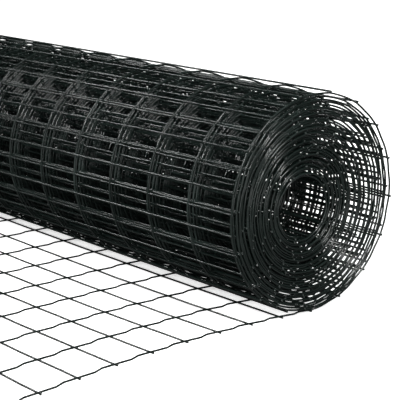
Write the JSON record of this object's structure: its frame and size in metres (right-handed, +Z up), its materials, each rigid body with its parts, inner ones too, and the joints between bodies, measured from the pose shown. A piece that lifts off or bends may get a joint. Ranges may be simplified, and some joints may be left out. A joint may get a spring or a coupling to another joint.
{
  "type": "roll of welded wire fencing",
  "caption": "Roll of plastic-coated welded wire mesh fencing lying on its side, with crimped line wires, an open bore and its free end unrolled flat in front.",
  "frame": {"origin": "on the floor at the middle of the fence's width, under the last cross wire that the roll lies on", "axes": "+X along the roll's axis, +Z up, and the free end of the sheet lies towards -Y"},
  "size_m": [0.9969, 0.5907, 0.2772],
  "materials": {
    "coated_wire": "dark green-grey plastic coat over galvanised steel wire, satin"
  },
  "bodies": {
    "root": {"wound_turns": "coated_wire", "unrolled_tail": "coated_wire"}
  },
  "joints": []
}
